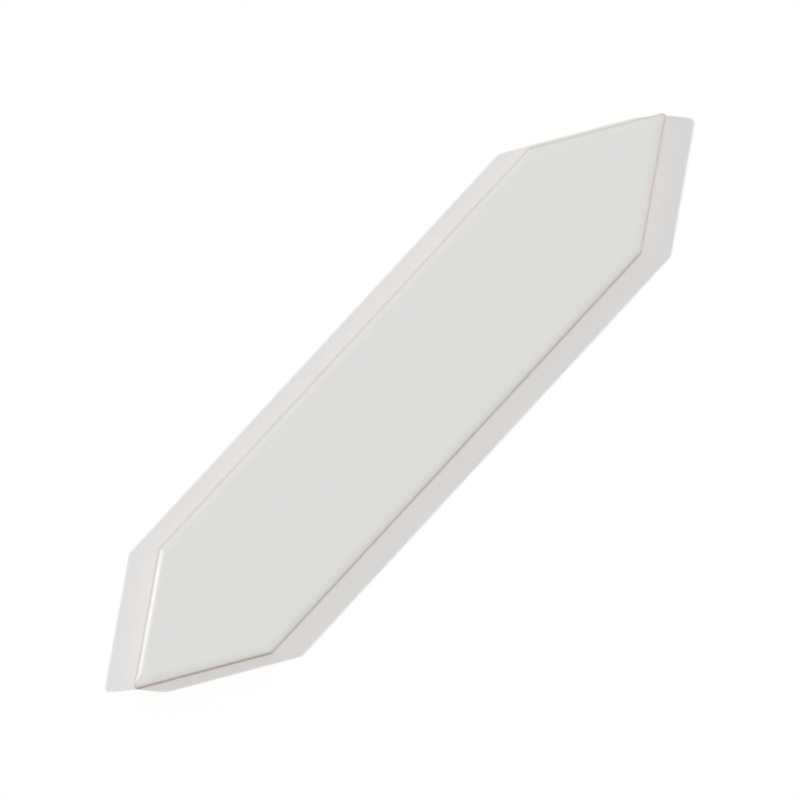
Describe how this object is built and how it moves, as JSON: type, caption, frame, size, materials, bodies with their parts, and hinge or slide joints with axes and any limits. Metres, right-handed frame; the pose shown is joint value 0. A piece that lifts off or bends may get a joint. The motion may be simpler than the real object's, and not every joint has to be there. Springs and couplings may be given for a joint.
{
  "type": "picket tile",
  "caption": "Elongated hexagonal glazed ceramic wall tile with a point at each end, a cushioned face edge and a keyed back.",
  "frame": {"origin": "middle of the back, on the plane of the rib tops that the tile rests on", "axes": "+X along the length to one point, +Y across the width, +Z out of the glazed face"},
  "size_m": [0.33, 0.065, 0.009],
  "materials": {
    "glazed_clay": "satin"
  },
  "bodies": {
    "root": {"picket_tile": "glazed_clay"}
  },
  "joints": []
}
